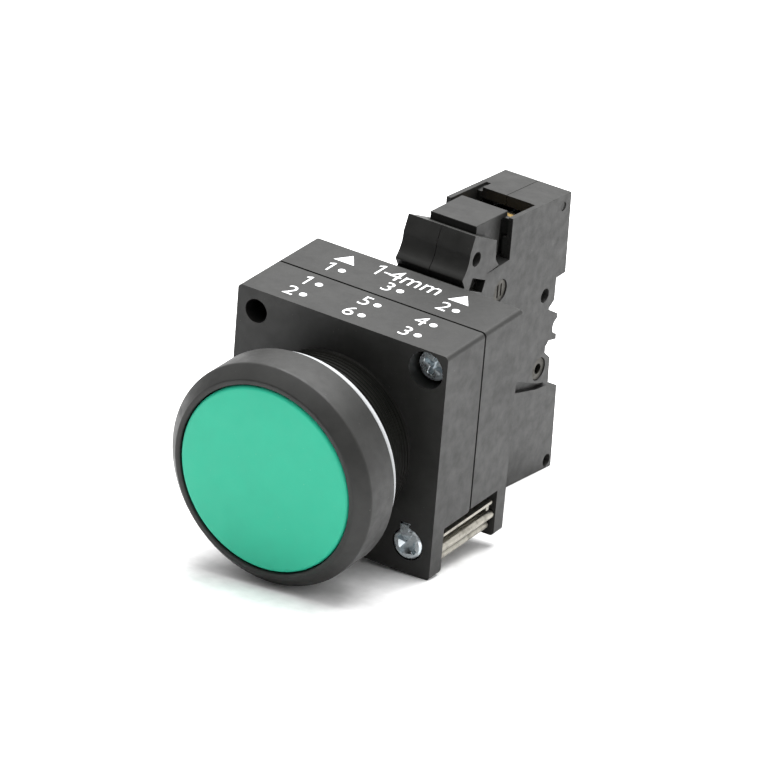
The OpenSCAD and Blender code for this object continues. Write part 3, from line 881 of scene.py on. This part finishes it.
@dataclass
class PrintedMarks:
    """White position marks and the panel thickness, printed on the holder's top. Sizes in millimetres."""

    shop: PaintShop
    columns: tuple[float, ...] = (-7.35, 1.06, 9.04)
    rows: tuple[tuple[float, str], ...] = ((18.3, "132"), (13.25, "154"), (9.75, "263"))
    dot: float = 0.48
    digit_height: float = 2.3
    digit_shift: float = 1.75
    arrows: tuple[float, ...] = (-8.46, 8.0)
    arrow_width: float = 2.95
    arrow_base: float = 20.4
    arrow_tip: float = 22.6
    legend: str = "4mm"
    legend_at: Point = (-4.0, 20.25)
    legend_width: float = 7.3
    legend_height: float = 2.7
    legend_gap: float = 1.6
    hyphen: tuple[float, float, float] = (1.3, 1.15, 1.0)
    ink: float = 0.03
    stroke: float = 0.25
    stroke_swell: float = -0.022
    size_per_height: float = 1.37
    digit_lift: float = 0.1

    def __post_init__(self) -> None:
        """Reads the height of the holder's top from the frame."""
        self.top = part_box("holder_front")[1].z / MM

    def thicken(self, piece: bpy.types.Object) -> bpy.types.Object:
        """Gives a flat mark the thickness of the ink.

        Args:
            piece: a flat mesh on the holder's top.

        Returns:
            The same piece, as a thin closed solid.
        """
        pick(piece)
        bpy.ops.object.mode_set(mode="EDIT")
        bpy.ops.mesh.select_all(action="SELECT")
        bpy.ops.mesh.extrude_region_move(TRANSFORM_OT_translate={"value": (0, 0, self.ink * MM)})
        bpy.ops.mesh.select_all(action="SELECT")
        bpy.ops.mesh.normals_make_consistent(inside=False)
        bpy.ops.object.mode_set(mode="OBJECT")
        return piece

    def write(self, words: str, centre: Point, height: float, width: float | None = None) -> bpy.types.Object:
        """Writes a word as thin raised ink.

        Args:
            words: what is written.
            centre: the middle of the word, across and in depth.
            height: height of its tallest letter.
            width: width of the whole word, or its natural width.

        Returns:
            The word's mesh.
        """
        deselect_all()
        bpy.ops.object.text_add(location=(0, 0, 0))
        text = bpy.context.object
        text.data.body = words
        text.data.size = height * MM * self.size_per_height
        text.data.resolution_u = 6
        text.data.offset = self.stroke_swell * MM
        text.data.extrude = self.ink * MM / 2
        bpy.ops.object.convert(target="MESH")
        low = Vector(map(min, *[v.co for v in text.data.vertices]))
        high = Vector(map(max, *[v.co for v in text.data.vertices]))
        across = width * MM / (high.x - low.x) if width else height * MM / (high.y - low.y)
        tall = height * MM / (high.y - low.y)
        middle = (low + high) / 2
        text.scale = (across, tall, 1)
        text.location = (centre[0] * MM - middle.x * across, centre[1] * MM - middle.y * tall,
                         (self.top + self.ink / 2) * MM)
        settle(text)
        bpy.ops.object.mode_set(mode="EDIT")
        bpy.ops.mesh.select_all(action="SELECT")
        bpy.ops.mesh.remove_doubles(threshold=0.001 * MM)
        bpy.ops.mesh.normals_make_consistent(inside=False)
        bpy.ops.object.mode_set(mode="OBJECT")
        return text

    def make_one(self, centre: Point, height: float) -> bpy.types.Object:
        """Makes the digit one, with a flag at its head.

        Args:
            centre: the middle of the digit, across and in depth.
            height: the digit's height.

        Returns:
            The digit as a thin solid.
        """
        side, half, flag = self.stroke / 2, height / 2, height * 0.2
        outline = [(side, -half), (side, half), (-side * 0.9, half), (-side - flag, half - flag * 0.7),
                   (-side - flag, half - flag * 0.7 - self.stroke * 1.1), (-side, half - self.stroke * 1.25),
                   (-side, -half)]
        return self.make_flat([(centre[0] + x + flag / 4, centre[1] + y) for x, y in outline], "digit_one")

    def make_flat(self, outline: list[Point], name: str) -> bpy.types.Object:
        """Makes a straight-edged mark.

        Args:
            outline: its corners, across and in depth.
            name: the new object's name.

        Returns:
            The mark as a thin solid.
        """
        flat = draw_outline([Vector((x, y, self.top)) for x, y in outline], name)
        bpy.ops.mesh.edge_face_add()
        bpy.ops.object.mode_set(mode="OBJECT")
        return self.thicken(flat)

    def make_hyphen(self, centre: Point, width: float) -> bpy.types.Object:
        """Makes the hyphen of the legend.

        Args:
            centre: its middle, across and in depth.
            width: its width.

        Returns:
            The hyphen as a thin solid.
        """
        left, right = centre[0] - width / 2, centre[0] + width / 2
        near, far = centre[1] - self.stroke / 2, centre[1] + self.stroke / 2
        return self.make_flat([(left, near), (right, near), (right, far), (left, far)], "hyphen")

    def make_dot(self, centre: Point) -> bpy.types.Object:
        """Makes one round dot.

        Args:
            centre: its middle, across and in depth.

        Returns:
            The dot as a thin solid.
        """
        deselect_all()
        bpy.ops.mesh.primitive_circle_add(vertices=36, radius=self.dot * MM, fill_type="NGON",
                                          location=(centre[0] * MM, centre[1] * MM, self.top * MM))
        dot = bpy.context.object
        settle(dot)
        return self.thicken(dot)

    def make_arrow(self, middle: float) -> bpy.types.Object:
        """Makes one arrowhead that points to the holder's rear.

        Args:
            middle: where its middle is, across.

        Returns:
            The arrowhead as a thin solid.
        """
        side = self.arrow_width / 2
        return self.make_flat([(middle - side, self.arrow_base), (middle + side, self.arrow_base),
                               (middle, self.arrow_tip)], "arrow")

    def build(self) -> None:
        """Makes, dresses and hangs the printed marks."""
        marks = []
        for depth, digits in self.rows:
            for column, digit in zip(self.columns, digits):
                marks.append(self.make_dot((column, depth)))
                place = (column - self.digit_shift, depth + self.digit_lift)
                marks.append(self.make_one(place, self.digit_height) if digit == "1"
                             else self.write(digit, place, self.digit_height))
        marks += [self.make_arrow(middle) for middle in self.arrows]
        left, base = self.legend_at
        middle = base + self.legend_height / 2
        marks.append(self.make_one((left, middle), self.legend_height))
        marks.append(self.make_hyphen((left + self.hyphen[0], base + self.hyphen[1]), self.hyphen[2]))
        marks.append(self.write(self.legend, (left + self.legend_gap + self.legend_width / 2, middle),
                                self.legend_height, self.legend_width))
        piece = join(marks, "printed_marks")
        self.shop.dress(piece, Coat.WHITE_INK)
        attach(piece, "holder")
        LOG.info("made %s with %d faces", piece.name, len(piece.data.polygons))


# ---------------------------------------------------------------- studio


@dataclass
class Studio:
    """The floor, the lights and the camera. Lengths in millimetres, angles in degrees."""

    shop: PaintShop
    azimuth: float = 30.619
    elevation: float = 27.195
    roll: float = 4.794
    distance: float = 700.0
    pivot_depth: float = 7.2
    aim: tuple[float, float] = (6.578, 5.603)
    lens: float = 269.66
    sensor: float = 36.0
    near: float = 10.0
    far: float = 10000.0
    floor_normal: Vector = field(default_factory=lambda: Vector((-0.0959, 0.1192, 0.9882)))
    floor_touch: Vector = field(default_factory=lambda: Vector((1.37, -6.6, -14.25)))
    floor_drop: float = 0.15
    floor_size: float = 1100.0
    softbox_side: tuple[float, float, float] = (-0.1, 0.35, 1.0)
    softbox_reach: float = 500.0
    softbox_size: float = 460.0
    softbox_power: float = 5.5
    bright_side: tuple[float, float, float] = (0.0, 0.75, 0.65)
    air_low: float = 0.08
    air_high: float = 1.45
    air_low_until: float = -0.35
    air_high_from: float = 0.6

    def camera_axes(self) -> Matrix:
        """Works out the camera's right, up and back directions as rows."""
        a, e, r = (math.radians(v) for v in (self.azimuth, self.elevation, self.roll))
        back = Vector((math.sin(a) * math.cos(e), -math.cos(a) * math.cos(e), math.sin(e)))
        right = Vector((math.cos(a), math.sin(a), 0))
        up = back.cross(right)
        return Matrix((right * math.cos(r) + up * math.sin(r), up * math.cos(r) - right * math.sin(r), back))

    def make_camera(self) -> None:
        """Adds the camera that looks at the object."""
        axes = self.camera_axes()
        place = axes.transposed() @ Vector((self.aim[0], self.aim[1], self.distance))
        place += Vector((0, self.pivot_depth, 0))
        deselect_all()
        bpy.ops.object.camera_add(location=place * MM)
        camera = bpy.context.object
        camera.name = "studio_camera"
        camera.rotation_euler = axes.transposed().to_euler()
        camera.data.lens = self.lens
        camera.data.sensor_width = self.sensor
        camera.data.clip_start = self.near * MM
        camera.data.clip_end = self.far * MM
        bpy.context.scene.camera = camera

    def make_floor(self) -> None:
        """Adds the pale floor that the bezel and the block stand on."""
        deselect_all()
        bpy.ops.mesh.primitive_grid_add(x_subdivisions=8, y_subdivisions=8, size=self.floor_size * MM)
        floor = bpy.context.object
        floor.name = "paper_floor"
        floor.rotation_mode = "QUATERNION"
        floor.rotation_quaternion = self.floor_normal.to_track_quat("Z", "Y")
        floor.location = (self.floor_touch - self.floor_normal.normalized() * self.floor_drop) * MM
        settle(floor)
        floor.data.materials.append(self.shop.get(Coat.PAPER_FLOOR))

    def add_softbox(self) -> None:
        """Adds one square area light above the object that faces it."""
        side = Vector(self.softbox_side)
        deselect_all()
        bpy.ops.object.light_add(type="AREA", location=side.normalized() * self.softbox_reach * MM)
        light = bpy.context.object
        light.name = "top_softbox"
        light.data.shape = "SQUARE"
        light.data.size = self.softbox_size * MM
        light.data.energy = self.softbox_power
        light.rotation_euler = side.to_track_quat("Z", "Y").to_euler()

    def light_air(self) -> None:
        """Lights the air round the object: bright above and behind, dim in front and below."""
        world = bpy.data.worlds.new("studio_air")
        world.use_nodes = True
        tree = world.node_tree
        place = tree.nodes.new("ShaderNodeTexCoord")
        toward = tree.nodes.new("ShaderNodeVectorMath")
        toward.operation = "DOT_PRODUCT"
        toward.inputs[1].default_value = Vector(self.bright_side).normalized()
        tree.links.new(place.outputs["Generated"], toward.inputs[0])
        strength = tree.nodes.new("ShaderNodeMapRange")
        strength.interpolation_type = "SMOOTHSTEP"
        levels = (("From Min", self.air_low_until), ("From Max", self.air_high_from),
                  ("To Min", self.air_low), ("To Max", self.air_high))
        for name, value in levels:
            strength.inputs[name].default_value = value
        tree.links.new(toward.outputs["Value"], strength.inputs["Value"])
        tree.links.new(strength.outputs["Result"], tree.nodes["Background"].inputs["Strength"])
        tree.nodes["Background"].inputs["Color"].default_value = (1, 1, 1, 1)
        bpy.context.scene.world = world

    def build(self) -> None:
        """Sets up the whole studio."""
        self.make_floor()
        self.make_camera()
        self.light_air()
        self.add_softbox()
        bpy.context.scene.view_settings.view_transform = "Standard"
        LOG.info("studio is set")


def main() -> None:
    """Builds the object's pieces in order, then the studio."""
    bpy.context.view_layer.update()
    shop = PaintShop()
    shop.dress_frame()
    FrontRing(shop).build()
    ButtonCap(shop).build()
    RibbedNeck(shop).build()
    CoilSprings(shop).build()
    RoundedNodes(shop).build()
    PrintedMarks(shop).build()
    Studio(shop).build()


if __name__ == "__main__":
    main()
